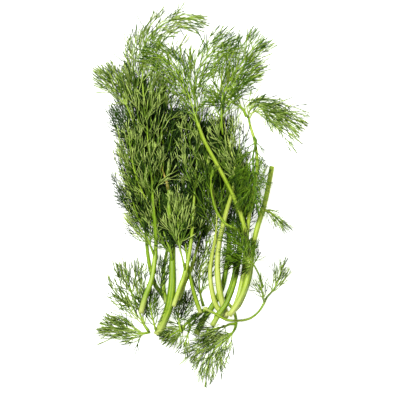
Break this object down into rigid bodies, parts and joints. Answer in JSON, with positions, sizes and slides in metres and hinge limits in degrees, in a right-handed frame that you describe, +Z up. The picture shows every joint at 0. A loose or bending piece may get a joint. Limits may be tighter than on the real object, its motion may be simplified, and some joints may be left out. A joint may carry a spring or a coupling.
{
  "type": "dill bunch",
  "caption": "Loose bunch of cut fresh dill lying flat: slender pale and green stalks gathered at the foot, feathery fronds spread at the leafy end.",
  "frame": {"origin": "on the surface the bunch lies on, under the middle of its bounding box", "axes": "+Y from the cut stalks towards the leafy end, along the length of the bunch; +Z up from the surface; +X completes the right-handed frame"},
  "size_m": [0.1474, 0.2694, 0.023],
  "materials": {
    "stem_pale": "satin",
    "stem_green": "satin",
    "frond_green": "matte",
    "frond_bright": "matte"
  },
  "bodies": {
    "root": {"frond_arching": "frond_green", "frond_arching_left": "frond_bright", "frond_broad": "frond_green", "frond_crest": "frond_green", "frond_deep_left": "frond_green", "frond_deep_low": "frond_green", "frond_deep_middle": "frond_green", "frond_deep_right": "frond_green", "frond_green_slim": "frond_green", "frond_hanging": "frond_bright", "frond_hook": "frond_green", "frond_inner": "frond_green", "frond_left": "frond_green", "frond_left_edge": "frond_green", "frond_left_low": "frond_green", "frond_long": "frond_bright", "frond_middle": "frond_green", "frond_middle_side": "frond_green", "frond_pale_broad": "frond_green", "frond_pale_slim": "frond_green", "frond_slender": "frond_green", "frond_thick": "frond_green", "frond_thick_low": "frond_green", "frond_top_left": "frond_green", "frond_top_middle": "frond_bright", "frond_top_right": "frond_bright", "frond_top_right_low": "frond_bright", "frond_trailing": "frond_green", "frond_upper": "frond_green", "spray_clump": "frond_green", "spray_clump_right": "frond_green", "spray_crossing": "frond_green", "spray_crossing_low": "frond_green", "spray_cut": "frond_green", "spray_front": "frond_bright", "spray_left": "frond_green", "spray_left_up": "frond_green", "spray_loop": "frond_green", "spray_loop_back": "frond_green", "spray_thin": "frond_bright", "spray_trailing": "frond_green", "stalk_arching": "stem_green", "stalk_broad": "stem_green", "stalk_crossing": "stem_green", "stalk_cut": "stem_green", "stalk_deep_left": "stem_green", "stalk_deep_middle": "stem_green", "stalk_deep_right": "stem_green", "stalk_green_slim": "stem_green", "stalk_inner": "stem_green", "stalk_left": "stem_green", "stalk_long": "stem_green", "stalk_loop": "stem_green", "stalk_middle": "stem_green", "stalk_pale_broad": "stem_pale", "stalk_pale_slim": "stem_pale", "stalk_slender": "stem_green", "stalk_thick": "stem_green", "stalk_thin": "stem_green", "stalk_trailing": "stem_green"}
  },
  "joints": []
}
